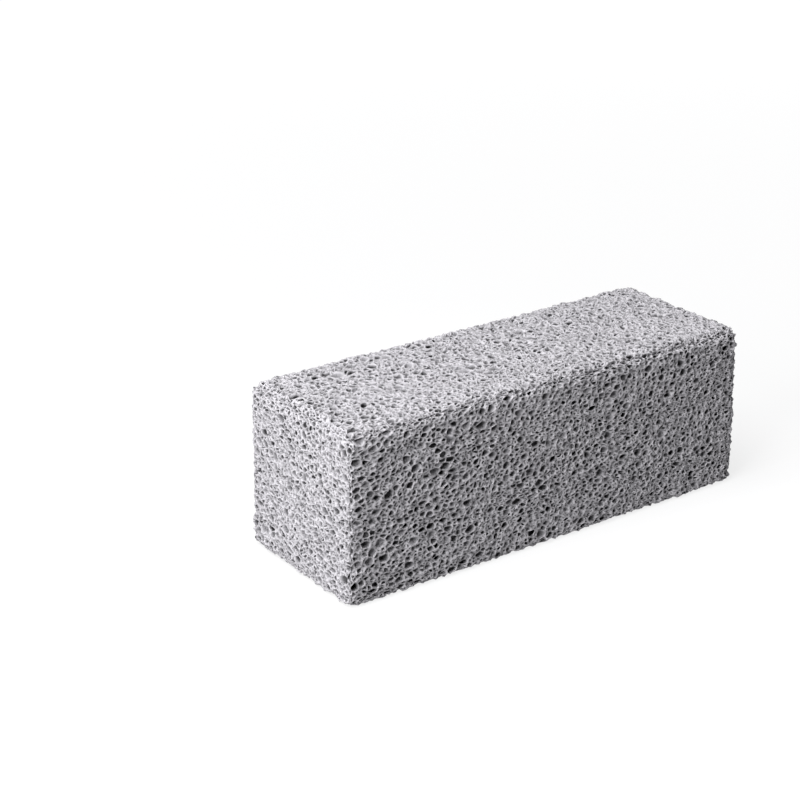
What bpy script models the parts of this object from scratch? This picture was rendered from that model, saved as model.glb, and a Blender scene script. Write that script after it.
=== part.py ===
"""A block of pale grey foamed pumice: one long square prism of stone, pitted on every side.

The block lies on a long side. The origin is at the middle of its underside, +X runs along
its length and +Z points up. Every length is in metres.
"""
import math
import random

import bmesh
import bpy
from mathutils import Vector
from mathutils.geometry import delaunay_2d_cdt

# Driving dimensions of the sawn block
LENGTH = 0.150
BREADTH = 0.0535
HEIGHT = 0.0535

# Arrises, where two sawn sides meet: each side stops short of the sharp edge
ARRIS_WEAR = 0.0009
ARRIS_CRUMBLE = 0.0010  # the most that a crumbled spot takes away beyond the wear
CRUMBLE_RARITY = 3  # the higher, the fewer spots crumble deeply
ARRIS_STEP = 0.0075  # distance between the points along an arris

# The largest open pores, which are the ones cut in the solid
PORES_PER_AREA = 20300  # pores for each square metre of side
PORE_WIDTH = (0.0021, 0.0037)
PORE_DEPTH = (0.55, 0.85)  # as a share of the pore's width
PORE_OVAL = (0.85, 1.15)  # how far the width varies round one pore
MOUTH_CORNERS = (5, 5, 6)
MOUTH_SKEW = 0.2  # how far a corner strays, as a share of the angle between corners
PORE_LEAN = 0.25  # how far the bottom sits off centre, as a share of the radius
PORE_WALL = 0.0005  # least stone left between two mouths
PORE_MARGIN = 0.0010  # least stone left between a mouth and the worn arris
REST_SPOT = 0.006  # radius of the patch at the middle of the underside that is left whole

# Finish of the stone
STONE_COLOUR = (0.50, 0.49, 0.51, 1.0)
STONE_ROUGHNESS = 0.95

SEED = 20
TRIES_PER_PORE = 400
MERGE_DISTANCE = 1e-7
WITHIN_OUTLINES = 1  # the triangulation's choice that leaves out what lies beyond the outlines


def clear_scene():
    for thing in list(bpy.data.objects):
        bpy.data.objects.remove(thing)


def stone_material():
    material = bpy.data.materials.new("pumice")
    material.use_nodes = True
    shader = material.node_tree.nodes["Principled BSDF"]
    shader.inputs["Base Color"].default_value = STONE_COLOUR
    shader.inputs["Roughness"].default_value = STONE_ROUGHNESS
    shader.inputs["Metallic"].default_value = 0.0
    material.diffuse_color = STONE_COLOUR
    return material


def sawn_prism():
    """The plain prism, resting on z = 0, with points along its edges and the edges worn off."""
    block = bmesh.new()
    bmesh.ops.create_cube(block, size=1.0)
    bmesh.ops.scale(block, vec=(LENGTH, BREADTH, HEIGHT), verts=block.verts)
    bmesh.ops.translate(block, vec=(0.0, 0.0, HEIGHT / 2), verts=block.verts)
    for edge in list(block.edges):
        cuts = round(edge.calc_length() / ARRIS_STEP) - 1
        bmesh.ops.bisect_edges(block, edges=[edge], cuts=cuts)
    bmesh.ops.bevel(
        block,
        geom=block.edges[:],
        offset=ARRIS_WEAR,
        offset_type="OFFSET",
        segments=1,
        affect="EDGES",
    )
    return block


def flat_axes(side):
    """Two directions in the side's plane that make a right-handed set with its normal."""
    normal = side.normal.normalized()
    across = Vector((0.0, 0.0, 1.0)) if abs(normal.x) > 0.5 else Vector((1.0, 0.0, 0.0))
    return across, normal.cross(across)


def crumble(side, centre, across, along, chance):
    """Moves each point of the side's outline inwards by an uneven amount, in its own plane."""
    reach_u = max(abs((point.co - centre).dot(across)) for point in side.verts)
    reach_v = max(abs((point.co - centre).dot(along)) for point in side.verts)
    for point in side.verts:
        u = (point.co - centre).dot(across)
        v = (point.co - centre).dot(along)
        taken = ARRIS_CRUMBLE * chance.random() ** CRUMBLE_RARITY
        if abs(u) > reach_u - ARRIS_WEAR:
            point.co -= across * math.copysign(taken, u)
        if abs(v) > reach_v - ARRIS_WEAR:
            point.co -= along * math.copysign(taken, v)
    return reach_u, reach_v


def pore_places(reach_u, reach_v, kept_whole, chance):
    """Middles and radii of one side's pores, the widest first, each clear of the others."""
    count = round(4 * reach_u * reach_v * PORES_PER_AREA)
    small, large = PORE_WIDTH
    radii = sorted((0.5 * chance.uniform(small, large) for _ in range(count)), reverse=True)
    edge = ARRIS_CRUMBLE + PORE_MARGIN
    places = []
    for radius in radii:
        rim = radius * PORE_OVAL[1]
        for _ in range(TRIES_PER_PORE):
            u = chance.uniform(rim + edge - reach_u, reach_u - rim - edge)
            v = chance.uniform(rim + edge - reach_v, reach_v - rim - edge)
            if math.hypot(u, v) < kept_whole + rim:
                continue
            if all(
                math.hypot(u - other_u, v - other_v) > rim + other_rim + PORE_WALL
                for other_u, other_v, other_rim in places
            ):
                places.append((u, v, rim))
                break
    return places


def mouth_outline(u, v, rim, chance):
    """The polygon of five or six corners in which a pore meets the side."""
    corners = chance.choice(MOUTH_CORNERS)
    turn = chance.uniform(0.0, math.tau)
    radius = rim / PORE_OVAL[1]
    outline = []
    for corner in range(corners):
        angle = turn + math.tau * (corner + chance.uniform(-MOUTH_SKEW, MOUTH_SKEW)) / corners
        reach = radius * chance.uniform(*PORE_OVAL)
        outline.append(Vector((u + reach * math.cos(angle), v + reach * math.sin(angle))))
    return outline


def pit_side(block, side, kept_whole, chance):
    """Replaces one flat side by the same flat with its pores sunk into it."""
    across, along = flat_axes(side)
    normal = side.normal.normalized()
    centre = side.calc_center_median()
    reach_u, reach_v = crumble(side, centre, across, along, chance)
    border = list(side.verts)

    flat = [
        Vector(((point.co - centre).dot(across), (point.co - centre).dot(along)))
        for point in border
    ]
    loops = [list(range(len(border)))]
    places = pore_places(reach_u, reach_v, kept_whole, chance)
    for u, v, rim in places:
        outline = mouth_outline(u, v, rim, chance)
        loops.append(list(range(len(flat), len(flat) + len(outline))))
        flat += outline

    _, _, triangles, came_from, _, inside_of = delaunay_2d_cdt(
        flat, [], loops, WITHIN_OUTLINES, MERGE_DISTANCE
    )
    points = border + [
        block.verts.new(centre + across * spot.x + along * spot.y)
        for spot in flat[len(border):]
    ]
    bmesh.ops.delete(block, geom=[side], context="FACES_ONLY")
    for triangle, holders in zip(triangles, inside_of):
        if list(holders) == [0]:
            block.faces.new([points[came_from[corner][0]] for corner in triangle])

    for (u, v, rim), loop in zip(places, loops[1:]):
        lean = rim * PORE_LEAN
        depth = 2 * rim * chance.uniform(*PORE_DEPTH)
        bottom = block.verts.new(
            centre
            + across * (u + chance.uniform(-lean, lean))
            + along * (v + chance.uniform(-lean, lean))
            - normal * depth
        )
        for first, second in zip(loop, loop[1:] + loop[:1]):
            block.faces.new((points[first], points[second], bottom))


def pumice_block():
    chance = random.Random(SEED)
    block = sawn_prism()
    sides = [face for face in block.faces if len(face.verts) > 4]
    for side in sides:
        resting = side.normal.z < -0.5
        pit_side(block, side, REST_SPOT if resting else 0.0, chance)
    bmesh.ops.triangulate(block, faces=[face for face in block.faces if len(face.verts) > 3])
    bmesh.ops.recalc_face_normals(block, faces=block.faces)

    mesh = bpy.data.meshes.new("pumice_block")
    block.to_mesh(mesh)
    block.free()
    mesh.materials.append(stone_material())
    stone = bpy.data.objects.new("pumice_block", mesh)
    bpy.context.scene.collection.objects.link(stone)
    return stone


clear_scene()
pumice_block()
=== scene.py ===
# %% [markdown]
# # A block of foamed pumice
#
# The object is one long square prism of pale grey stone foam. Gas blew bubbles in the melt,
# the melt set to glassy stone, and a saw cut the block out of it. Every side therefore
# shows the bubbles that the saw opened: rounded hollows in thin walls, from half a
# millimetre to three and a half millimetres wide.
#
# The lesson follows that history. It packs bubbles, lets their walls meet, saws the foam
# along the six sides, and then lets Geometry Nodes press every opened bubble into the
# stone. A texture alone would look right only from the front, so the pores are real.

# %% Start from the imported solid
import math
import time
from collections import Counter

import bpy
import numpy as np
from mathutils import Matrix, Vector
from mathutils.geometry import delaunay_2d_cdt
from mathutils.kdtree import KDTree


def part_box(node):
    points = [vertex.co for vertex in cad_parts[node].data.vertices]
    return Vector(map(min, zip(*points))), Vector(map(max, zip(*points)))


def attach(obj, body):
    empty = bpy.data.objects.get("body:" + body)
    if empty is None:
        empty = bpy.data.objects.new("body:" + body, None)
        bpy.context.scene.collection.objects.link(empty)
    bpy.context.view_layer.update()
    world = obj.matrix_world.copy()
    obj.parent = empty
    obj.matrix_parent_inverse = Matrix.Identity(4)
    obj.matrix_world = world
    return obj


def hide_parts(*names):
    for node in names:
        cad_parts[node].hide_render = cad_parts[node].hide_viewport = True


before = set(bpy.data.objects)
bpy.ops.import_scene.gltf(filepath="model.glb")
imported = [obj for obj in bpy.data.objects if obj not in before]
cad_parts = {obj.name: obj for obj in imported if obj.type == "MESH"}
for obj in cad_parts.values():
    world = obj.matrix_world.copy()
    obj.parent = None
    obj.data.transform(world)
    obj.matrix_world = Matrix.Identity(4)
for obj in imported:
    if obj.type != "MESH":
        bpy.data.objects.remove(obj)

NODE = "pumice_block"
MM = 0.001
started = time.time()
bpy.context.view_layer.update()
low, high = (np.array(corner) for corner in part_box(NODE))
middle = (low + high) / 2
half = (high - low) / 2
length, breadth, height = high - low


def tell(*words):
    print(*words, "after", round(time.time() - started, 1), "s")


def put_in_scene(name, data):
    """A new object at the origin that holds a mesh, a lamp or a camera."""
    thing = bpy.data.objects.new(name, data)
    bpy.context.scene.collection.objects.link(thing)
    return thing


print("block, mm:", [round(side / MM, 1) for side in (length, breadth, height)])

# %% [markdown]
# ## The viewpoint
#
# The block is seen from its front left corner and a little above. The seven corners that
# show in the picture fix the camera: its turn round the block, its height above the
# horizon and how far away it stands. A long lens from far away keeps the sides nearly
# parallel, as the picture has them.

# %% Camera
TURN = math.radians(-35.85)
RISE = math.radians(22.32)
DISTANCE = 11.37 * height
ASIDE = -0.581 * height
UPWARD = 0.649 * height
LENS = 87.6
SENSOR = 36.0


def add_camera():
    back = Vector(
        (math.sin(TURN) * math.cos(RISE), -math.cos(TURN) * math.cos(RISE), math.sin(RISE))
    )
    right = Vector((math.cos(TURN), math.sin(TURN), 0.0))
    up = back.cross(right)
    data = bpy.data.cameras.new("studio_camera")
    data.lens = LENS
    data.sensor_width = SENSOR
    camera = put_in_scene("studio_camera", data)
    turned = Matrix((right, up, back)).transposed().to_4x4()
    turned.translation = right * ASIDE + up * UPWARD + back * DISTANCE
    camera.matrix_world = turned
    bpy.context.scene.camera = camera
    return camera


camera = add_camera()
print("camera at, mm:", [round(value / MM) for value in camera.location])

# %% [markdown]
# ## Nodes in a few words
#
# Materials and Geometry Nodes are both trees of nodes. Each helper adds a node, sets it
# up and hands back its output, so that a tree reads like a formula.

# %% Helpers for trees of nodes
def add(tree, kind, **settings):
    """A node with its settings, and its inputs given by name in a dict called inputs."""
    made = tree.nodes.new(kind)
    inputs = settings.pop("inputs", {})
    for name, value in settings.items():
        setattr(made, name, value)
    for name, value in inputs.items():
        socket = made.inputs[name]
        if isinstance(value, bpy.types.NodeSocket):
            tree.links.new(value, socket)
        else:
            socket.default_value = value
    return made


def math_node(tree, operation, first, second):
    made = add(tree, "ShaderNodeMath", operation=operation, inputs={0: first, 1: second})
    return made.outputs[0]


def vector_node(tree, operation, first, second, socket=1):
    inputs = {0: first, socket: second}
    made = add(tree, "ShaderNodeVectorMath", operation=operation, inputs=inputs)
    return made.outputs["Vector"]


def ranged(tree, value, lowest, highest, first=0.0, last=1.0):
    """What runs from first to last while the value runs from lowest to highest."""
    source = {"Value": value, "From Min": lowest, "From Max": highest}
    inputs = {**source, "To Min": first, "To Max": last}
    return add(tree, "ShaderNodeMapRange", inputs=inputs).outputs["Result"]


# %% [markdown]
# ## The floor
#
# The block stands on a white table in a bright studio. Such a table is often lit from
# below as well, so that it turns clear white and the shadow on it stays faint. Here the
# floor glows for that, and more so far away, where less of the lamps' light arrives. Its
# own white is dark, or it would throw too much of their light up the long side.

# %% Floor
FLOOR_WIDTH = 12.0
FLOOR_WHITE = (0.11, 0.11, 0.112, 1.0)
FLOOR_ROUGHNESS = 0.9
FLOOR_GLOSS = 0.1
FLOOR_GLOW = (0.815, 0.96)
GLOW_REACH = (0.2, 0.9)
WHITE = (1.0, 1.0, 1.0, 1.0)


def floor_paint():
    paint = bpy.data.materials.new("floor_white")
    paint.use_nodes = True
    tree = paint.node_tree
    shader = tree.nodes["Principled BSDF"]
    shader.inputs["Base Color"].default_value = FLOOR_WHITE
    shader.inputs["Roughness"].default_value = FLOOR_ROUGHNESS
    shader.inputs["Specular IOR Level"].default_value = FLOOR_GLOSS
    shader.inputs["Emission Color"].default_value = WHITE
    place = add(tree, "ShaderNodeTexCoord").outputs["Object"]
    away = add(tree, "ShaderNodeVectorMath", operation="LENGTH", inputs={0: place})
    glow = ranged(tree, away.outputs["Value"], *GLOW_REACH, *FLOOR_GLOW)
    tree.links.new(glow, shader.inputs["Emission Strength"])
    return paint


def add_floor():
    half_width = FLOOR_WIDTH / 2
    signs = [(-1, -1), (1, -1), (1, 1), (-1, 1)]
    corners = [(half_width * x, half_width * y, 0.0) for x, y in signs]
    mesh = bpy.data.meshes.new("floor")
    mesh.from_pydata(corners, [], [(0, 1, 2, 3)])
    mesh.materials.append(floor_paint())
    floor = put_in_scene("floor", mesh)
    return floor


floor = add_floor()
print("floor, m:", [round(side, 1) for side in floor.dimensions])

# %% [markdown]
# ## The lights
#
# A large soft lamp hangs above the near end, so the top is a little brighter there. A far
# light from the left shines on the end of the block. The long side gets only what grazes
# it and what the floor gives back, so it reads as the dark side. A small lamp close to the
# near corner draws the thin rims of the pores crisply, and its light fades along the block.
# Lamps this close are hidden from the camera, or their disks would show in some views. The
# sky gives little light, but a camera that looks past the floor sees it as white paper.

# %% Lights and film
TOP_LIGHT = 1.50
TOP_PLACE = Vector((-0.30, -0.05, 0.75))
TOP_RADIUS = 0.30
END_LIGHT = 1.34
END_DIRECTION = Vector((-1.0, -0.03, 0.30))
END_SPREAD = math.radians(40)
NEAR_LIGHT = 0.46
NEAR_PLACE = Vector((-0.21, -0.15, 0.20))
NEAR_RADIUS = 0.03
SKY = 0.03


def add_light(data, direction):
    """A lamp that shines from a direction towards the origin."""
    light = put_in_scene(data.name, data)
    light.rotation_euler = direction.to_track_quat("Z", "Y").to_euler()
    return light


def add_near_light(name, place, strength, radius):
    """A round soft lamp at a place, which has the given strength at the origin."""
    data = bpy.data.lights.new(name, "AREA")
    data.shape = "DISK"
    data.size = 2 * radius
    data.energy = strength * math.pi**2 * (radius**2 + place.length_squared)
    lamp = add_light(data, place)
    lamp.location = place
    lamp.visible_camera = False


def add_far_light(name, direction, strength, spread):
    """A light so far away that it has the given strength everywhere."""
    data = bpy.data.lights.new(name, "SUN")
    data.energy = strength * math.pi
    data.angle = spread
    add_light(data, direction)


def add_sky():
    """A weak light from all round, and plain white where the camera looks past the floor."""
    world = bpy.data.worlds.new("studio")
    world.use_nodes = True
    tree = world.node_tree
    background = tree.nodes["Background"]
    background.inputs["Color"].default_value = WHITE
    seen = add(tree, "ShaderNodeLightPath").outputs["Is Camera Ray"]
    tree.links.new(math_node(tree, "ADD", seen, SKY), background.inputs["Strength"])
    bpy.context.scene.world = world


add_near_light("light_above", TOP_PLACE, TOP_LIGHT, TOP_RADIUS)
add_far_light("light_left", END_DIRECTION, END_LIGHT, END_SPREAD)
add_near_light("light_near", NEAR_PLACE, NEAR_LIGHT, NEAR_RADIUS)
add_sky()
bpy.context.scene.view_settings.view_transform = "Standard"

# %% [markdown]
# ## How big the bubbles are
#
# Bubbles in a foam have a wide range of sizes, with many small ones and a few large ones,
# and a log-normal spread describes that well. The melt was drawn out lengthwise before it
# froze, so the bubbles are wider along the block than they are high. The foam is made
# round in a shorter box first, and is drawn out to the block's size at the end. Only bubbles
# near the sawn sides matter: each one is wanted in a band that reaches from its own radius
# outside the side to about twice that inside. The ones inside stay closed, but they
# bound the open ones.

# %% Draw the bubble sizes
MEDIAN_BUBBLE = 0.95 * MM
BUBBLE_SPREAD = 0.44
SMALLEST_BUBBLE = 0.41 * MM
LARGEST_BUBBLE = 3.0 * MM
BUBBLES_PER_VOLUME = 0.565 / MM**3
DRAWN_OUT = np.array([1.22, 1.00, 0.92])
BAND_DEPTH = 1.9
BAND_MARGIN = 0.3 * MM
SEED = 7

chance = np.random.default_rng(SEED)
foam_half = half / DRAWN_OUT


def outside(points):
    """How far each point is outside the box of foam, below zero inside it."""
    past = np.abs(points - middle) - foam_half
    return np.linalg.norm(np.maximum(past, 0), axis=1) + np.minimum(past.max(axis=1), 0)


def band(radii):
    """How deep and how high round the sides a bubble of each radius is wanted."""
    return BAND_DEPTH * radii + BAND_MARGIN, radii


def draw_radii():
    """The radii of the bubbles wanted round the whole box, the largest first."""
    long, broad, high = foam_half
    area = 8 * (long * broad + broad * high + high * long)
    widest_band = sum(band(LARGEST_BUBBLE / 2))
    count = int(BUBBLES_PER_VOLUME * area * widest_band)
    radii = MEDIAN_BUBBLE / 2 * np.exp(BUBBLE_SPREAD * chance.standard_normal(count))
    radii = radii[(radii > SMALLEST_BUBBLE / 2) & (radii < LARGEST_BUBBLE / 2)]
    below, above = band(radii)
    radii = radii[chance.random(len(radii)) < (below + above) / widest_band]
    return np.sort(radii)[::-1]


radii_wanted = draw_radii()
print(len(radii_wanted), "bubbles, median mm:", round(2 * np.median(radii_wanted) / MM, 2))

# %% [markdown]
# ## Packing the bubbles
#
# The large bubbles are placed first and the small ones fill the gaps, as in a real foam,
# where big bubbles push small ones aside. Each bubble tries random places until one is
# free. Two bubbles may overlap a little, because real ones press a flat wall between
# them. Towards the right end the bubbles are finer, and so there are more of them. A k-d
# tree finds the neighbours, which keeps the search short.

# %% Pack the bubbles
PRESSED = 0.84
TRIES = 30
BATCH_SHARE = 0.93
COARSER = 0.12
CROWDING = 6 * COARSER


def coarseness(points):
    """How many times wider than drawn the bubbles are: more on the left, less on the right."""
    return np.exp(-COARSER * (points[:, 0] - middle[0]) / foam_half[0])


def random_places(radii):
    """One random place for each radius, within its band and crowded where bubbles are fine."""
    places = np.empty((len(radii), 3))
    left = np.arange(len(radii))
    while len(left):
        share = chance.random((len(left), 3))
        share[:, 0] = np.log1p(share[:, 0] * math.expm1(CROWDING)) / CROWDING
        tried = middle + (2 * share - 1) * (foam_half + radii[left, None])
        gap = outside(tried)
        below, above = band(radii[left])
        good = (gap > -below) & (gap < above)
        places[left[good]] = tried[good]
        left = left[~good]
    return places


def tree_of(points):
    tree = KDTree(len(points))
    for index, point in enumerate(points):
        tree.insert(point, index)
    tree.balance()
    return tree


def free_spots(spots, waiting, placed, sizes, in_turn=False):
    """Which spots keep clear of the placed bubbles, or in turn of the free ones before them."""
    tree = tree_of(placed)
    free = np.ones(len(spots), bool)
    widest = sizes.max()
    for k, (spot, radius) in enumerate(zip(spots, waiting)):
        for _, other, gap in tree.find_range(spot, PRESSED * (radius + widest)):
            if in_turn and (other >= k or not free[other]):
                continue
            if gap < PRESSED * (radius + sizes[other]):
                free[k] = False
                break
    return free


def pack_bubbles(wanted):
    """Centres and radii of the bubbles, placed in batches of about one size."""
    centres, radii = np.empty((0, 3)), np.empty(0)
    start = 0
    while start < len(wanted):
        stop = max(start + 1, int(np.searchsorted(-wanted, -wanted[start] * BATCH_SHARE)))
        waiting = wanted[start:stop]
        for _ in range(TRIES):
            spots = random_places(waiting)
            blown = waiting * coarseness(spots)
            kept = np.arange(len(spots))
            if len(radii):
                kept = kept[free_spots(spots, blown, centres, radii)]
            if len(kept):
                spots_left, sizes_left = spots[kept], blown[kept]
                kept = kept[free_spots(spots_left, sizes_left, spots_left, sizes_left, True)]
            centres = np.vstack([centres, spots[kept]])
            radii = np.concatenate([radii, blown[kept]])
            waiting = np.delete(waiting, kept)
            if not len(waiting):
                break
        start = stop
    return centres, radii


centres, radii = pack_bubbles(radii_wanted)
tell(len(radii), "bubbles placed")

# %% [markdown]
# ## Sawing the foam
#
# Between two bubbles the wall stands where both are equally near, counted from their
# skins: a power diagram. On a flat saw cut that wall is a straight line, so each cell of
# the cut is a convex polygon, found by starting with the whole side and cutting away
# what belongs to each neighbour. The six sides use the same bubbles, so the walls of two
# sides meet exactly on their common edge.

# %% Cut the foam along the sides
KEPT_POWER = 2.4 * MM**2
SAW_SEARCH = (1.3, 4.0 * MM)
TINY_AREA = 1e-14


def clip(loop, x, y, limit):
    """The part of a convex loop where x * u + y * v is under limit."""
    kept = []
    u0, v0 = loop[-1]
    past0 = x * u0 + y * v0 - limit
    for u1, v1 in loop:
        past1 = x * u1 + y * v1 - limit
        if (past0 <= 0) != (past1 <= 0):
            share = past0 / (past0 - past1)
            kept.append((u0 + share * (u1 - u0), v0 + share * (v1 - v0)))
        if past1 <= 0:
            kept.append((u1, v1))
        u0, v0, past0 = u1, v1, past1
    return kept


def area_of(loop):
    turned = loop[1:] + loop[:1]
    return sum(u0 * v1 - u1 * v0 for (u0, v0), (u1, v1) in zip(loop, turned)) / 2


def walls_round(k, spots, weights, tree, reach):
    """(neighbours, directions, distances) of the walls round bubble k, from its own spot."""
    found = tree.find_range(Vector(spots[k]).to_3d(), reach)
    others = np.fromiter((item[1] for item in found), int, len(found))
    others = others[others != k]
    steps = spots[others] - spots[k]
    gaps = np.linalg.norm(steps, axis=1)
    limits = (gaps**2 + weights[k] - weights[others]) / (2 * gaps)
    return others, steps / gaps[:, None], limits


def cell_loop(k, flat, weights, tree, reach, side_half):
    """The polygon that bubble k has on a side of the given half size."""
    _, ways, limits = walls_round(k, flat, weights, tree, reach)
    u, v = flat[k]
    reach_u, reach_v = side_half
    loop = [
        (-reach_u - u, -reach_v - v),
        (reach_u - u, -reach_v - v),
        (reach_u - u, reach_v - v),
        (-reach_u - u, reach_v - v),
    ]
    farthest = math.inf
    for n in np.argsort(limits):
        if limits[n] > farthest:
            break
        loop = clip(loop, *ways[n], limits[n])
        if len(loop) < 3:
            return []
        farthest = max(math.hypot(*corner) for corner in loop)
    return [(u + du, v + dv) for du, dv in loop] if area_of(loop) > TINY_AREA else []


def saw_side(axis, sign):
    """(bubble, its polygon in space) for each cell that shows on one side."""
    plane = [[1, 2], [2, 0], [0, 1]][axis]
    if sign < 0:
        plane.reverse()
    level = middle[axis] + sign * foam_half[axis]
    power = (centres[:, axis] - level) ** 2 - radii**2
    past = np.maximum(np.abs(centres[:, plane] - middle[plane]) - foam_half[plane], 0)
    near = np.flatnonzero(power + (past**2).sum(axis=1) < KEPT_POWER)
    flat = centres[near][:, plane] - middle[plane]
    tree = tree_of(np.column_stack([flat, np.zeros(len(flat))]))
    share, margin = SAW_SEARCH
    reaches = share * radii[near] + margin
    cells = []
    for k, reach in enumerate(reaches):
        loop = cell_loop(k, flat, -power[near], tree, reach, foam_half[plane])
        if loop:
            points = np.empty((len(loop), 3))
            points[:, plane] = np.array(loop) + middle[plane]
            points[:, axis] = level
            cells.append((int(near[k]), points))
    return cells


cells = [cell for axis in range(3) for sign in (-1, 1) for cell in saw_side(axis, sign)]
tell(len(cells), "cells sawn")

# %% [markdown]
# ## Joining cells over the edges
#
# A bubble under an edge of the block shows on two sides, and one under a corner on three.
# Its polygons are joined into one bent loop. Corners that lie closer than the weld
# distance become one, and inside a bubble's own patch an edge that is used in both
# directions disappears. What is left over runs once round the patch.

# %% Weld the corners and join the patches
WELD = 0.02 * MM


def weld(points):
    """(places of the welded corners, for each point the index of its corner)"""
    tree = tree_of(points)
    corner_of = np.full(len(points), -1)
    corners = []
    for index, point in enumerate(points):
        if corner_of[index] < 0:
            for _, other, _ in tree.find_range(point, WELD):
                if corner_of[other] < 0:
                    corner_of[other] = len(corners)
            corners.append(point)
    return np.array(corners), corner_of


def outlines(patch):
    """The loops round the joined polygons of one bubble."""
    edges = Counter()
    for loop in patch:
        for a, b in zip(loop, loop[1:] + loop[:1]):
            if a == b:
                continue
            if edges[b, a]:
                edges[b, a] -= 1
            else:
                edges[a, b] += 1
    following = {}
    for a, b in sorted(edges.elements()):
        following.setdefault(a, []).append(b)
    loops = []
    while following:
        loop = []
        step = first = min(following)
        while step != first or not loop:
            loop.append(step)
            onward = following[step].pop()
            if not following[step]:
                del following[step]
            step = onward
        loops.append(loop)
    return loops


def join_cells(cells):
    """(corner places, [(bubble, loop of corner indices)])"""
    corners, corner_of = weld(np.vstack([points for _, points in cells]))
    patches = {}
    start = 0
    for bubble, points in cells:
        stop = start + len(points)
        patches.setdefault(bubble, []).append([int(c) for c in corner_of[start:stop]])
        start = stop
    joined = [
        (bubble, loop)
        for bubble, patch in patches.items()
        for loop in outlines(patch)
        if len(loop) > 2
    ]
    return corners, joined


corners, patches = join_cells(cells)
tell(len(patches), "patches with", len(corners), "corners made")

# %% [markdown]
# ## The worn edges
#
# Sawn foam never keeps a sharp edge: the thin walls there crumble first. A point of the
# foam gets its place on the block in three steps. It is drawn out to the block's size,
# then the slow flow of the melt shifts it a little along the sides, and last one rule
# turns the sharp box into one with rounded edges. The radius grows slowly from the low
# front edges to the high back ones, because use wears some edges more. These rules bend
# space and not single pieces, so walls stay walls and no hollow breaks into the next.

# %% Round the edges of the block
EDGE_RADIUS = (1.6 * MM, 4.2 * MM)
WEAR_RISE = np.array([0.5, 0.8, 0.9])
WEAR_LEVEL = 0.3
FLOW_REACH = 1.0 * MM
FLOW_SIZE = (16 * MM, 34 * MM)
FLOW_WAVES = 10
SIDE_HOLD = 6
NO_LENGTH = 1e-12


def draw_flow():
    """(directions, wave vectors, phases) of the slow waves that stretch the foam."""
    ways = chance.standard_normal((FLOW_WAVES, 3))
    ways /= np.linalg.norm(ways, axis=1)[:, None]
    waves = chance.standard_normal((FLOW_WAVES, 3))
    sizes = chance.uniform(*FLOW_SIZE, FLOW_WAVES)
    waves *= (2 * math.pi / sizes / np.linalg.norm(waves, axis=1))[:, None]
    return ways, waves, chance.uniform(0, 2 * math.pi, FLOW_WAVES)


flow = draw_flow()


def drawn_out(points):
    """Where the points of the foam went as the melt was drawn out to the block's size."""
    return middle + (points - middle) * DRAWN_OUT


def stretched(points):
    """Where the slow flow of the melt carried the points, along the sides of the block only."""
    ways, waves, phases = flow
    shift = np.sin(points @ waves.T + phases) @ ways * FLOW_REACH / math.sqrt(FLOW_WAVES / 2)
    free = 1 - np.minimum(np.abs(points - middle) / half, 1) ** SIDE_HOLD
    return points + shift * free


def edge_radius(points):
    """How far wear rounded the edges near each point: least low in front."""
    wave = np.sin((points - middle) / half @ WEAR_RISE[:, None] + WEAR_LEVEL)
    slight, strong = EDGE_RADIUS
    return slight + (strong - slight) * (1 + wave) / 2


def worn(points):
    """(where the points of the foam lie on the worn block, the way out there)"""
    points = stretched(drawn_out(points))
    core = half - edge_radius(points)
    inner = np.clip(points - middle, -core, core)
    arm = points - middle - inner
    longest = np.abs(arm).max(axis=-1, keepdims=True)
    reach = np.linalg.norm(arm, axis=-1, keepdims=True)
    way = arm / np.maximum(reach, NO_LENGTH)
    return middle + inner + way * longest, way


print("edge radius, mm:", [round(radius / MM, 1) for radius in EDGE_RADIUS])

# %% [markdown]
# ## The mouths
#
# Where the saw opened a bubble, its mouth follows the polygon but its corners are
# rounded, because the melt gathered where three walls met. The outline is sampled at even
# steps, each sample is pulled towards the mean of its neighbours, and then it moves
# inwards by half the thickness of the wall, which differs from sample to sample. A cell
# too small to open stays solid stone.

# %% Round the mouths
WALL = 0.15 * MM
WALL_RANGE = (0.2, 2.6)
RIM_STEP = 0.66 * MM
RIM_POINTS = (5, 12)
MOST_WALL = 0.6
ROUNDING = (0.28, 0.06)
LEAST_MOUTH = 0.13 * MM


def mouth_of(points):
    """(rim points on the sharp block, the outline's corners and rim points as distances)"""
    ahead = np.roll(points, -1, axis=0)
    marks = np.concatenate([[0.0], np.cumsum(np.linalg.norm(ahead - points, axis=1))])
    count = int(np.clip(round(marks[-1] / RIM_STEP), *RIM_POINTS))
    steps = (np.arange(count) + 0.5) / count * marks[-1]
    closed = np.vstack([points, points[:1]])
    rim = np.column_stack([np.interp(steps, marks, closed[:, k]) for k in range(3)])
    for pull in ROUNDING:
        rim += pull * ((np.roll(rim, 1, axis=0) + np.roll(rim, -1, axis=0)) / 2 - rim)
    centre = rim.mean(axis=0)
    tangent = np.roll(rim, -1, axis=0) - np.roll(rim, 1, axis=0)
    tangent /= np.linalg.norm(tangent, axis=1)[:, None] + NO_LENGTH
    inwards = centre - rim
    inwards -= (inwards * tangent).sum(axis=1)[:, None] * tangent
    room = np.linalg.norm(inwards, axis=1)
    if np.median(room) < LEAST_MOUTH:
        return None, marks, steps
    inwards /= room[:, None] + NO_LENGTH
    thickness = WALL / 2 * chance.uniform(*WALL_RANGE, count)
    rim += inwards * np.minimum(thickness, MOST_WALL * room)[:, None]
    return rim, marks, steps


print("walls between mouths, mm:", [round(WALL * share / MM, 2) for share in WALL_RANGE])
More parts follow.
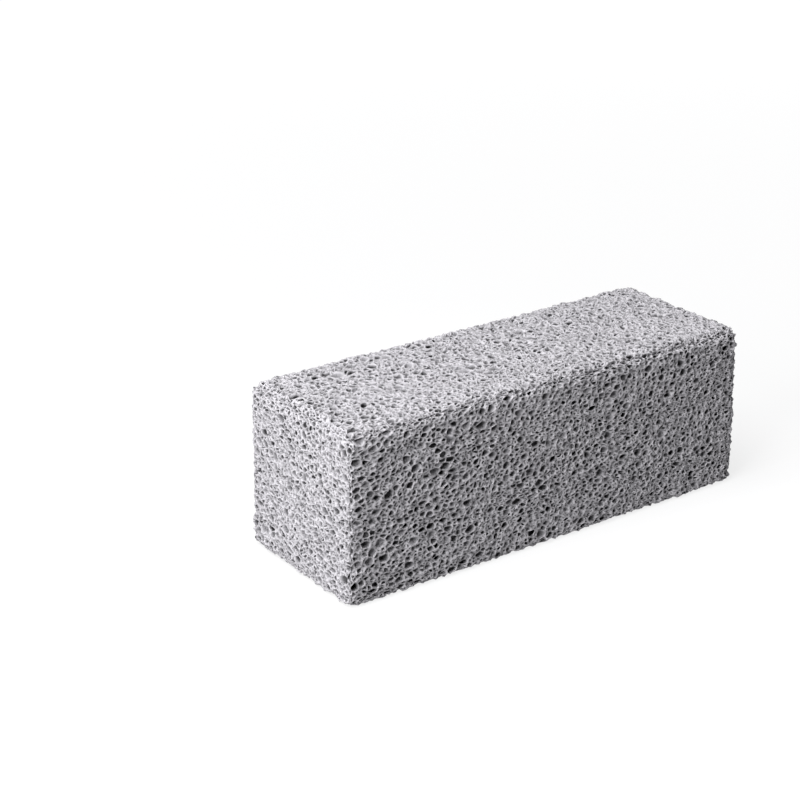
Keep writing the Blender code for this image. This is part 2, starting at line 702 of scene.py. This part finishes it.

# %% [markdown]
# ## The hollows
#
# Under its mouth a bubble keeps its real shape: it ends where the walls to its
# neighbours are, with rounded corners. From a point inside, the distance to the
# surface in any direction is a soft minimum over those walls. Two rings of points are
# found that way, one where the hollow is widest and one near its bottom. About half of
# the floors that had a closed bubble below them burst, and there the deep ring lies in
# that bubble. These are the few black holes among the grey ones, and their bottoms are
# also painted near black as shade.

# %% Measure the hollows
SOFTNESS = 8
RING_TURNS = (0.42, 0.70)
BUBBLE_LIMIT = 1.15
LEAST_DEPTH = 0.55
EYE_DEPTH = (0.4, 0.6)
THIN = 0.05 * MM
BURST_SHARE = 0.55
BURST_TURN = 0.35
WALL_SEARCH = (1.35, 2.0 * MM)
bubble_tree = tree_of(centres)
bubble_weights = radii**2
opened = {bubble for bubble, _ in patches}


def walls_of(bubble):
    """(neighbours, directions, distances) of the walls round one bubble, from its centre."""
    share, margin = WALL_SEARCH
    reach = share * radii[bubble] + margin
    return walls_round(bubble, centres, bubble_weights, bubble_tree, reach)


def distances(ways, origin, bubble, normals, limits):
    """How far the hollow reaches from origin in each of the ways."""
    offset = origin - centres[bubble]
    room = np.maximum(limits - WALL / 2 - normals @ offset, THIN)
    nearness = np.maximum(ways @ normals.T, 0) / room
    bound = BUBBLE_LIMIT * radii[bubble]
    along = ways @ offset
    inside = along**2 + bound**2 - offset @ offset
    skin = np.where(inside > 0, -along + np.sqrt(np.maximum(inside, 0)), THIN)
    nearness = np.column_stack([nearness, 1 / np.maximum(skin, THIN)])
    return (nearness**SOFTNESS).sum(axis=1) ** (-1 / SOFTNESS)


def ring_of(ways, down, turn, origin, bubble, normals, limits):
    """Where the ways from origin, turned downwards by a share, meet the hollow's surface."""
    ways = (1 - turn) * ways + turn * down
    ways /= np.linalg.norm(ways, axis=1)[:, None]
    return origin + ways * distances(ways, origin, bubble, normals, limits)[:, None]


def hollow_of(bubble, rim, down):
    """(rings of the hollow below a rim, its depth, whether its floor burst)"""
    others, normals, limits = walls_of(bubble)
    mouth = rim.mean(axis=0)
    width = np.linalg.norm(rim - mouth, axis=1).mean()
    depth = distances(down[None], mouth, bubble, normals, limits)[0]
    depth = max(depth, LEAST_DEPTH * width)
    origin = mouth + down * min(EYE_DEPTH[0] * depth, EYE_DEPTH[1] * width)
    ways = rim - origin
    ways /= np.linalg.norm(ways, axis=1)[:, None]
    rings = [
        ring_of(ways, down, turn, origin, bubble, normals, limits) for turn in RING_TURNS
    ]
    offset = origin - centres[bubble]
    room = np.maximum(limits - normals @ offset, THIN)
    below = int(others[np.argmax(normals @ down / room)])
    burst = below not in opened and chance.random() < BURST_SHARE
    if burst:
        opened.add(below)
        _, normals, limits = walls_of(below)
        rings[1] = ring_of(ways, down, BURST_TURN, centres[below], below, normals, limits)
    return rings, depth, burst


print("bubbles that the saw reached:", len(opened))

# %% [markdown]
# ## The skin of the block
#
# Between the outline of a cell and the rim of its mouth runs a band of triangles, the
# sawn top of the walls. The mouth itself is one face for now. Each of its points
# carries three vectors: the way out of the stone, and where the point goes at the widest
# ring and near the bottom. It also carries how much shade is painted on the bottom of
# its pore and how near an edge of the block it lies, for the crumbling. The narrowest
# mouths get the deep ring alone.

# %% Make the skin
ONE_RING = 0.48 * MM
PIT_SHADE_RANGE = (0.15, 0.8)
CRUMBLE_REACH = 4.0 * MM
CORNER_REACH = 6.0 * MM


def band_faces(loop, rim, marks, steps):
    """Triangles between an outline and its rim, in the order of their distances."""
    faces = []
    count_out, count_in = len(loop), len(rim)
    out = int(np.searchsorted(marks, steps[0], side="right")) - 1
    done_out = done_in = 0
    while done_out < count_out or done_in < count_in:
        corner = loop[(out + done_out) % count_out]
        point = rim[done_in % count_in]
        laps, index = divmod(out + done_out + 1, count_out)
        next_out = marks[index] + laps * marks[-1]
        laps, index = divmod(done_in + 1, count_in)
        next_in = steps[index] + laps * marks[-1]
        if done_in >= count_in or (done_out < count_out and next_out < next_in):
            faces.append((corner, loop[(out + done_out + 1) % count_out], point))
            done_out += 1
        else:
            faces.append((corner, rim[(done_in + 1) % count_in], point))
            done_in += 1
    return faces


def near_edge(points):
    """About 1 on an edge of the block, 0 past the reach of the crumbling."""
    points = drawn_out(points)
    gaps = np.sort(half - np.abs(points - middle), axis=1)
    edge = np.clip(1 - gaps[:, 1] / CRUMBLE_REACH, 0, 1)
    corner = np.clip(1 - gaps[:, 2] / CORNER_REACH, 0, 1)
    edge += corner * np.clip(1 - gaps[:, 1] / CORNER_REACH, 0, 1)
    return edge * edge_radius(points)[:, 0] / np.mean(EDGE_RADIUS)


def carry(mesh, name, values, kind="FLOAT", domain="POINT"):
    """Stores a value for each point of a mesh, or for each face."""
    field = "vector" if kind == "FLOAT_VECTOR" else "value"
    values = np.asarray(values, bool if kind == "BOOLEAN" else np.float32)
    mesh.attributes.new(name, kind, domain).data.foreach_set(field, values.ravel())


def make_skin():
    """A mesh of the sawn surface, with one face for each mouth."""
    places, ways = worn(corners)
    places, ways = [places], [ways]
    rings = [[places[0]], [places[0]]]
    rims, darks = [np.zeros(len(corners))], [np.zeros(len(corners))]
    edges = [near_edge(corners)]
    faces, wide_mouths, small_mouths, depths = [], [], [], []
    count = len(corners)
    for bubble, loop in patches:
        rim, marks, steps = mouth_of(corners[loop])
        if rim is None:
            faces.append(loop)
            continue
        rim_places, rim_ways = worn(rim)
        down = -rim_ways.mean(axis=0)
        down /= np.linalg.norm(down)
        hollow, depth, burst = hollow_of(bubble, rim, down)
        depths.append(depth)
        # How much shade is painted on the pore's bottom: all of it where the floor burst.
        dark = 1.0 if burst else chance.uniform(*PIT_SHADE_RANGE)
        rims.append(np.ones(len(rim)))
        darks.append(np.full(len(rim), dark))
        edges.append(near_edge(rim))
        indices = list(range(count, count + len(rim)))
        count += len(rim)
        places.append(rim_places)
        ways.append(np.where(np.abs(rim_ways).sum(axis=1)[:, None] > 0, rim_ways, -down))
        for ring, points in zip(rings, hollow):
            ring.append(worn(points)[0])
        faces += band_faces(loop, indices, marks, steps)
        wide = np.linalg.norm(rim - rim.mean(axis=0), axis=1).mean() > ONE_RING
        (wide_mouths if wide else small_mouths).append(len(faces))
        faces.append(indices)
    mesh = bpy.data.meshes.new("skin")
    mesh.from_pydata(np.vstack(places), [], faces)
    for name, rows in (("outward", ways), ("ring_wide", rings[0]), ("ring_deep", rings[1])):
        carry(mesh, name, np.vstack(rows), "FLOAT_VECTOR")
    for name, values in (("rim", rims), ("painted_pit_shade", darks), ("near_edge", edges)):
        carry(mesh, name, np.concatenate(values))
    for name, mouths in (("wide_mouth", wide_mouths), ("small_mouth", small_mouths)):
        carry(mesh, name, np.isin(np.arange(len(faces)), mouths), "BOOLEAN", "FACE")
    return mesh, depths


skin, depths = make_skin()
print(len(depths), "open pores, mean depth, mm:", round(float(np.mean(depths)) / MM, 2))
tell("skin made")

# %% [markdown]
# ## The stone
#
# The stone is a dull, neutral grey with a faint cool tint. The sawn crests are lighter,
# partly for dust and partly as a painted highlight, and the bottoms of the pores are
# painted darker as shade. A ramp turns the attribute hollow, 0 on a crest and up to 1 at
# a bottom, into that grey, and slow clouds let it drift a little.
#
# The walls hold pores that are too fine for the mesh. A Voronoi pattern makes them: noise
# stirs its coordinates and each cell draws its own reach, so that they don't look
# printed. They are painted darker as the shade inside them, and with a fine grain they
# are the height of a bump.

# %% Stone material
# The crest grey is lighter for dust and as a painted highlight; the pit greys are painted
# shade.
CREST_DUST_AND_HIGHLIGHT = (0.295, 0.288, 0.304, 1.0)
WALL_GREY = (0.220, 0.215, 0.228, 1.0)
PIT_SHADE_GREY = (0.083, 0.081, 0.086, 1.0)
DEEP_PIT_SHADE_GREY = (0.022, 0.0215, 0.023, 1.0)
WALL_FROM = 0.07
PIT_FROM = 0.5
STONE_ROUGHNESS = 0.95
STONE_GLOSS = 0.25
CLOUD_SIZE = 9 * MM
CLOUD_RANGE = (0.3, 0.7)
DRIFT = 0.05
GRAIN_SIZE = 0.5 * MM
FINE_PORE_SIZE = 0.7 * MM
FINE_PORE_REACH = 0.42
FINE_PORE_SLOPE = (0.6, 1.2)
FINE_PORE_SHADE = 0.5
STIR = 0.35 * MM
RELIEF = 0.20 * MM
RELIEF_STRENGTH = 0.8


def noise_at(tree, place, size, detail, roughness=0.5):
    """Noise over a place, with lumps of about the given size."""
    inputs = {"Vector": place, "Scale": 1 / size, "Detail": detail, "Roughness": roughness}
    return add(tree, "ShaderNodeTexNoise", inputs=inputs)


def greys_with_painted_shade(tree):
    """The grey of the stone, with painted shade deeper in a hollow and a painted highlight on a
    crest.
    """
    hollow = add(tree, "ShaderNodeAttribute", attribute_name="hollow").outputs["Fac"]
    ramp = add(tree, "ShaderNodeValToRGB", inputs={"Fac": hollow})
    steps = ramp.color_ramp.elements
    steps[0].color = CREST_DUST_AND_HIGHLIGHT
    steps[1].color = DEEP_PIT_SHADE_GREY
    for position, colour in ((WALL_FROM, WALL_GREY), (PIT_FROM, PIT_SHADE_GREY)):
        steps.new(position).color = colour
    return ramp.outputs["Color"]


def solid_between_pores(tree, place):
    """1 on solid stone, 0 in a fine pore."""
    stir = noise_at(tree, place, GRAIN_SIZE, detail=2.0).outputs["Color"]
    inputs = {0: stir, 1: (STIR,) * 3, 2: place}
    stirred = add(tree, "ShaderNodeVectorMath", operation="MULTIPLY_ADD", inputs=inputs)
    inputs = {"Vector": stirred.outputs["Vector"], "Scale": 1 / FINE_PORE_SIZE}
    cells = add(tree, "ShaderNodeTexVoronoi", inputs=inputs).outputs
    lot = add(tree, "ShaderNodeSeparateColor", inputs={"Color": cells["Color"]}).outputs[0]
    reach = math_node(tree, "MULTIPLY", lot, FINE_PORE_REACH)
    beyond = math_node(tree, "DIVIDE", cells["Distance"], reach)
    return ranged(tree, beyond, *FINE_PORE_SLOPE)


def stone_material():
    stone = bpy.data.materials.new("pumice_stone")
    stone.use_nodes = True
    tree = stone.node_tree
    shader = tree.nodes["Principled BSDF"]
    shader.inputs["Roughness"].default_value = STONE_ROUGHNESS
    shader.inputs["Specular IOR Level"].default_value = STONE_GLOSS
    place = add(tree, "ShaderNodeTexCoord").outputs["Object"]
    clouds = noise_at(tree, place, CLOUD_SIZE, detail=4.0, roughness=0.6).outputs["Fac"]
    drift = ranged(tree, clouds, *CLOUD_RANGE, 1 - DRIFT, 1 + DRIFT)
    solid = solid_between_pores(tree, place)
    # The fine pores are painted darker, as the shade inside them.
    shade = ranged(tree, solid, 0.0, 1.0, FINE_PORE_SHADE, 1.0)
    shade = math_node(tree, "MULTIPLY", drift, shade)
    tinted = vector_node(tree, "SCALE", greys_with_painted_shade(tree), shade, "Scale")
    tree.links.new(tinted, shader.inputs["Base Color"])
    grain = noise_at(tree, place, GRAIN_SIZE, detail=3.0, roughness=0.65).outputs["Fac"]
    relief = math_node(tree, "ADD", grain, solid)
    inputs = {"Height": relief, "Distance": RELIEF, "Strength": RELIEF_STRENGTH}
    bump = add(tree, "ShaderNodeBump", inputs=inputs).outputs["Normal"]
    tree.links.new(bump, shader.inputs["Normal"])
    return stone


stone_finish = stone_material()
print("material nodes:", len(stone_finish.node_tree.nodes))

# %% [markdown]
# ## What wear takes away
#
# Before the pores are pressed in, the tree of Geometry Nodes works out how much stone has
# crumbled away at each point: a little everywhere, more where a wall broke, and most
# along the edges of the block. Noise of three sizes decides where. The sizes and depths
# are the named inputs of the tree.

# %% Nodes for the wear
WEAR_SIZES = {
    "Crest Height": 0.10 * MM,
    "Wear Depth": 0.25 * MM,
    "Wear Size": 7.0 * MM,
    "Break Depth": 1.05 * MM,
    "Break Size": 1.6 * MM,
    "Edge Crumble Depth": 1.10 * MM,
    "Edge Crumble Size": 2.2 * MM,
    "Roughness Depth": 0.26 * MM,
    "Roughness Size": 0.6 * MM,
}
LOSSES = {"Wear": (0.35, 0.75), "Break": (0.36, 0.74), "Edge Crumble": (0.35, 0.70)}


def stored(tree, name, kind="FLOAT"):
    """The values that the skin carries under a name."""
    made = add(tree, "GeometryNodeInputNamedAttribute", data_type=kind, inputs={"Name": name})
    return made.outputs["Attribute"]


def noise(tree, size, detail, output="Fac"):
    """Noise over the place of each point, with lumps of about the given size."""
    place = add(tree, "GeometryNodeInputPosition").outputs["Position"]
    inputs = {"Vector": place, "Scale": math_node(tree, "DIVIDE", 1.0, size), "Detail": detail}
    return add(tree, "ShaderNodeTexNoise", inputs=inputs).outputs[output]


def lost(tree, size, depth, limits):
    """How deep stone is lost: nothing below the first limit of the noise, all past the last."""
    share = ranged(tree, noise(tree, size, detail=2.0), *limits)
    return math_node(tree, "MULTIPLY", share, depth)


def sunk_by_wear(tree, given):
    """How far each point of the skin sinks."""
    worn_off, broken, crumbled = (
        lost(tree, given[f"{name} Size"], given[f"{name} Depth"], limits)
        for name, limits in LOSSES.items()
    )
    crumbled = math_node(tree, "MULTIPLY", crumbled, stored(tree, "near_edge"))
    below_crest = math_node(tree, "MULTIPLY", stored(tree, "rim"), given["Crest Height"])
    sunk = math_node(tree, "ADD", worn_off, broken)
    sunk = math_node(tree, "ADD", sunk, crumbled)
    return math_node(tree, "ADD", sunk, below_crest)


# %% [markdown]
# ## Pressing the pores in
#
# Geometry Nodes do the same thing to every mouth at once. They extrude each mouth on its
# own, move the new points to the widest ring, extrude again and move them to the deep
# ring. Then every point sinks by what crumbled above it and shakes a little, which makes
# the walls uneven. The last nodes keep all points inside the sawn box, smooth the faces,
# make the result real and paint it.

# %% Nodes that press
NOISE_MEAN = (0.5, 0.5, 0.5)


def store(tree, geometry, name, value, selection):
    return add(
        tree,
        "GeometryNodeStoreNamedAttribute",
        data_type="FLOAT",
        domain="POINT",
        inputs={"Geometry": geometry, "Selection": selection, "Name": name, "Value": value},
    ).outputs["Geometry"]


def move(tree, geometry, **inputs):
    """Moves the points to a Position or by an Offset."""
    made = add(tree, "GeometryNodeSetPosition", inputs={"Geometry": geometry, **inputs})
    return made.outputs["Geometry"]


def press(tree, geometry, selection, ring, hollow):
    """Extrudes the chosen faces and moves them to the places stored as ring."""
    inputs = {"Mesh": geometry, "Selection": selection, "Offset Scale": 0.0, "Individual": True}
    extruded = add(tree, "GeometryNodeExtrudeMesh", mode="FACES", inputs=inputs).outputs
    place = stored(tree, ring, "FLOAT_VECTOR")
    moved = move(tree, extruded["Mesh"], Selection=extruded["Top"], Position=place)
    return store(tree, moved, "hollow", hollow, extruded["Top"]), extruded["Top"]


def roughened(tree, geometry, size, depth):
    """The geometry with every point shaken at random."""
    rough = noise(tree, size, detail=1.0, output="Color")
    rough = vector_node(tree, "SUBTRACT", rough, NOISE_MEAN)
    return move(tree, geometry, Offset=vector_node(tree, "SCALE", rough, depth, "Scale"))


def kept_in_box(tree, geometry):
    place = add(tree, "GeometryNodeInputPosition").outputs["Position"]
    place = vector_node(tree, "MINIMUM", place, tuple(high))
    return move(tree, geometry, Position=vector_node(tree, "MAXIMUM", place, tuple(low)))


# %% [markdown]
# ## The stone as one tree
#
# Pores and wear are everywhere on the real stone, so one tree does the whole of it, step by
# step. A Boolean cutter for each pore would take far too long. The sizes of the wear are
# inputs of the tree, set on its modifier.

# %% The whole tree
WIDEST_RING_SHADE = 0.6


def pore_tree():
    """The tree, and for each size its input's identifier."""
    tree = bpy.data.node_groups.new("press_the_pores", "GeometryNodeTree")
    tree.interface.new_socket("Geometry", in_out="INPUT", socket_type="NodeSocketGeometry")
    tree.interface.new_socket("Geometry", in_out="OUTPUT", socket_type="NodeSocketGeometry")
    sockets = {}
    for name in WEAR_SIZES:
        socket = tree.interface.new_socket(name, in_out="INPUT", socket_type="NodeSocketFloat")
        sockets[name] = socket.identifier
    given = tree.nodes.new("NodeGroupInput").outputs

    sunk = sunk_by_wear(tree, given)
    geometry = store(tree, given["Geometry"], "sunk", sunk, True)
    geometry = store(tree, geometry, "hollow", 0.0, True)

    wide = stored(tree, "wide_mouth", "BOOLEAN")
    small = stored(tree, "small_mouth", "BOOLEAN")
    # The painted shade: a share of it at the widest ring, all of it at the deep ring.
    dark = stored(tree, "painted_pit_shade")
    lighter = math_node(tree, "MULTIPLY", dark, WIDEST_RING_SHADE)
    geometry, pressed = press(tree, geometry, wide, "ring_wide", lighter)
    either = add(tree, "FunctionNodeBooleanMath", operation="OR", inputs={0: pressed, 1: small})
    geometry, _ = press(tree, geometry, either.outputs[0], "ring_deep", dark)

    upwards = math_node(tree, "MULTIPLY", stored(tree, "sunk"), -1.0)
    down = vector_node(tree, "SCALE", stored(tree, "outward", "FLOAT_VECTOR"), upwards, "Scale")
    geometry = move(tree, geometry, Offset=down)
    geometry = roughened(tree, geometry, given["Roughness Size"], given["Roughness Depth"])
    geometry = kept_in_box(tree, geometry)
    geometry = add(
        tree,
        "GeometryNodeSetShadeSmooth",
        domain="FACE",
        inputs={"Geometry": geometry, "Shade Smooth": True},
    ).outputs["Geometry"]
    real = add(tree, "GeometryNodeRealizeInstances", inputs={"Geometry": geometry})
    inputs = {"Geometry": real.outputs["Geometry"], "Material": stone_finish}
    painted = add(tree, "GeometryNodeSetMaterial", inputs=inputs).outputs["Geometry"]
    result = tree.nodes.new("NodeGroupOutput")
    tree.links.new(painted, result.inputs["Geometry"])
    return tree, sockets


def pressed_stone(skin):
    """The plain mesh of the whole stone, with its pores."""
    carrier = put_in_scene("stone_skin", skin)
    tree, sockets = pore_tree()
    modifier = carrier.modifiers.new("pores", "NODES")
    modifier.node_group = tree
    for name, value in WEAR_SIZES.items():
        modifier[sockets[name]] = value
    view = bpy.context.evaluated_depsgraph_get()
    mesh = bpy.data.meshes.new_from_object(carrier.evaluated_get(view))
    bpy.data.objects.remove(carrier)
    return mesh


stone_mesh = pressed_stone(skin)
stone_mesh.calc_loop_triangles()
tell(len(stone_mesh.loop_triangles), "triangles made")

# %% [markdown]
# ## Slices of one stone
#
# The stone is one piece, but so fine a mesh is too much for one file. It is cut into
# slices across its length, each with about the same number of triangles. A triangle that
# crosses a cut is split in three, so no point of the surface moves.

# %% Find what a cut crosses
SLICES = 6
ON_CUT = 1e-7


def read(rows, field, width=1, kind=np.int32):
    """One field of all rows of a mesh, in one long array."""
    values = np.empty(width * len(rows), kind)
    rows.foreach_get(field, values)
    return values


def triangles_of(mesh):
    """(points, hollow values, corner indices of the triangles) as arrays."""
    mesh.calc_loop_triangles()
    points = read(mesh.vertices, "co", 3, np.float32).reshape(-1, 3)
    hollow = read(mesh.attributes["hollow"].data, "value", 1, np.float32)
    triangles = read(mesh.loop_triangles, "vertices", 3).reshape(-1, 3)
    return points.astype(float), hollow.astype(float), triangles


def crossing_triangles(points, triangles, place):
    """(which triangles cross the cut, their corners, the one alone on its side first)"""
    right = (points[:, 0] > place)[triangles]
    crossing = (right.sum(axis=1) % 3) > 0
    right = right[crossing]
    odd = np.where(right.sum(axis=1)[:, None] == 1, right, ~right)
    turn = (odd.argmax(axis=1)[:, None] + np.arange(3)) % 3
    return crossing, np.take_along_axis(triangles[crossing], turn, axis=1)


# %% [markdown]
# ## The face of a cut
#
# The split triangles leave outlines on the plane of the cut: one round the block, others
# round hollows, some of them crossing. They are laid out flat and triangulated together.
# Whoever walks in from outside and crosses an outline gets into the stone, and at the
# next one out of it again, so each triangle is known to be stone or air. The ones in
# stone close the slices on both sides of the cut. They lie inside and can't be seen.

# %% Fill a cut
WHOLE_PLANE = 0
SAME_SPOT = 1e-9


def lay_out(points, segments):
    """The cut seen from the right: its points, and a triangulation that holds the segments."""
    flat = [Vector((y, z)) for _, y, z in points]
    return flat, delaunay_2d_cdt(flat, segments.tolist(), [], WHOLE_PLANE, SAME_SPOT)


def enclosed(edges, faces, on_outline):
    """Which faces lie inside the outlines: each outline that is crossed turns out to in."""
    beside = {}
    for number, face in enumerate(faces):
        for a, b in zip(face, face[1:] + face[:1]):
            beside.setdefault((min(a, b), max(a, b)), []).append(number)
    crossed = {(min(edge), max(edge)): odd for edge, odd in zip(edges, on_outline)}
    links = {}
    inside = {}
    for edge, pair in beside.items():
        if len(pair) == 1:
            inside[pair[0]] = crossed[edge]
        else:
            for one, other in (pair, pair[::-1]):
                links.setdefault(one, []).append((other, crossed[edge]))
    waiting = list(inside)
    while waiting:
        number = waiting.pop()
        for other, odd in links.get(number, []):
            if other not in inside:
                inside[other] = inside[number] ^ odd
                waiting.append(other)
    return [face for number, face in enumerate(faces) if inside[number]]


# %% [markdown]
# ## One cut
#
# Each triangle that the plane crosses is split: one piece stays with the corner that is
# alone on its side, and two go to the other side. Blender's Bisect does this too, but its
# fill fails where outlines cross. Here such crossings become points of the skin as well, so
# the skin and the face of the cut share every point.

# %% Cut at one place
def cut_at(points, hollow, triangles, place):
    """(points, hollow values, triangles that no longer cross the cut, those that fill it)"""
    touching = np.abs(points[:, 0] - place) < ON_CUT
    points[touching, 0] = place + ON_CUT
    crossing, odd = crossing_triangles(points, triangles, place)
    pairs = np.sort(np.vstack([odd[:, [0, 1]], odd[:, [0, 2]]]), axis=1)
    pairs, where = np.unique(pairs, axis=0, return_inverse=True)
    segments = where.reshape(2, -1).T
    start, stop = points[pairs[:, 0]], points[pairs[:, 1]]
    share = (place - start[:, 0]) / (stop[:, 0] - start[:, 0])
    added = start + share[:, None] * (stop - start)
    added_hollow = hollow[pairs[:, 0]] * (1 - share) + hollow[pairs[:, 1]] * share

    flat, (spots, edges, faces, from_points, from_edges, _) = lay_out(added, segments)
    first = len(points)
    name_of_spot = []
    name_of_added = np.zeros(len(added), int)
    extra = []
    for spot, sources in zip(spots, from_points):
        if sources:
            name_of_spot.append(first + sources[0])
            name_of_added[sources] = first + sources[0]
        else:
            name_of_spot.append(first + len(added) + len(extra))
            extra.append((place, *spot))
    along = {}
    for edge, sources in zip(edges, from_edges):
        for source in sources:
            along.setdefault(source, set()).update(edge)

    made = []
    extra_hollow = np.zeros(len(extra))
    for number, ((ab, ac), (alone, second, third)) in enumerate(zip(segments, odd)):
        made.append((name_of_added[ab], second, third))
        begin, end = flat[ab], flat[ac]
        way = end - begin
        chain = sorted(along.get(number, ()), key=lambda spot: (spots[spot] - begin).dot(way))
        for spot in chain:
            if not from_points[spot]:
                part = (spots[spot] - begin).dot(way) / way.dot(way)
                value = added_hollow[ab] * (1 - part) + added_hollow[ac] * part
                extra_hollow[name_of_spot[spot] - first - len(added)] = value
        names = [name_of_spot[spot] for spot in chain]
        for one, other in zip(names, names[1:]):
            made.append((alone, one, other))
            made.append((third, other, one))

    filling = enclosed(edges, faces, [len(sources) % 2 for sources in from_edges])
    filling = [[name_of_spot[corner] for corner in face] for face in filling]
    added[:, 0] = place
    return (
        np.vstack([points, added, np.reshape(extra, (-1, 3))]),
        np.concatenate([hollow, added_hollow, extra_hollow]),
        np.vstack([triangles[~crossing], made]),
        np.reshape(filling, (-1, 3)),
    )


# %% [markdown]
# ## A mesh for each slice
#
# The skin of a slice is shaded smooth and the face of a cut flat. The edges between them
# are marked sharp, or the smooth shading would bend round into the cut and a seam would
# show. Every edge must join an even number of faces, or the slice is open somewhere.

# %% Make the slices
def plain_mesh(name, points, hollow, triangles, flat_from):
    """A mesh of triangles, smooth up to the number flat_from and flat after it."""
    used, corners = np.unique(triangles, return_inverse=True)
    mesh = bpy.data.meshes.new(name)
    mesh.vertices.add(len(used))
    mesh.vertices.foreach_set("co", points[used].astype(np.float32).ravel())
    mesh.loops.add(3 * len(triangles))
    mesh.loops.foreach_set("vertex_index", corners.astype(np.int32).ravel())
    mesh.polygons.add(len(triangles))
    mesh.polygons.foreach_set("loop_start", np.arange(0, 3 * len(triangles), 3, dtype=np.int32))
    smooth = np.arange(len(triangles)) < flat_from
    mesh.polygons.foreach_set("use_smooth", smooth)
    mesh.update(calc_edges=True)
    carry(mesh, "hollow", hollow[used])
    ends = read(mesh.edges, "vertices", 2).reshape(-1, 2)
    on_fill = np.isin(used, triangles[flat_from:])
    mesh.edges.foreach_set("use_edge_sharp", on_fill[ends].all(axis=1))
    mesh.materials.append(stone_finish)
    return mesh


def slice_stone(mesh):
    """The closed slices of the stone, from left to right."""
    points, hollow, triangles = triangles_of(mesh)
    places = np.quantile(points[triangles, 0].mean(axis=1), np.arange(1, SLICES) / SLICES)
    fills = [np.empty((0, 3), int)]
    for place in places:
        points, hollow, triangles, filling = cut_at(points, hollow, triangles, place)
        fills.append(filling)
    fills.append(fills[0])
    slice_of = np.searchsorted(places, points[triangles, 0].mean(axis=1))
    slices = []
    for number in range(SLICES):
        skin_part = triangles[slice_of == number]
        whole = np.vstack([skin_part, fills[number][:, ::-1], fills[number + 1]])
        name = f"pumice_slice_{number + 1}"
        slices.append(plain_mesh(name, points, hollow, whole, len(skin_part)))
    return slices


def open_edges(mesh):
    """How many edges join an odd number of faces, which leaves the mesh open there."""
    uses = np.bincount(read(mesh.loops, "edge_index"), minlength=len(mesh.edges))
    return int((uses % 2).sum())


print("open edges of the whole stone:", open_edges(stone_mesh))
slices = slice_stone(stone_mesh)
for part in slices:
    print(part.name, len(part.polygons), "triangles, open edges:", open_edges(part))
print(sum(len(part.polygons) for part in slices), "triangles in all")
tell("sliced")

# %% [markdown]
# ## In the place of the solid
#
# The imported solid shows only the widest pores, as plain pits. Each slice takes its place
# in the picture, moves with the same body and carries the stone material.

# %% Place the slices
for part in slices:
    stone = put_in_scene(part.name, part)
    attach(stone, "root")
    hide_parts(NODE)
print("placed:", [part.name for part in slices])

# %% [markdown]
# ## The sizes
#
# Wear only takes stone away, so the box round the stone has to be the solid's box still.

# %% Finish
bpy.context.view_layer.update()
tell("all done")
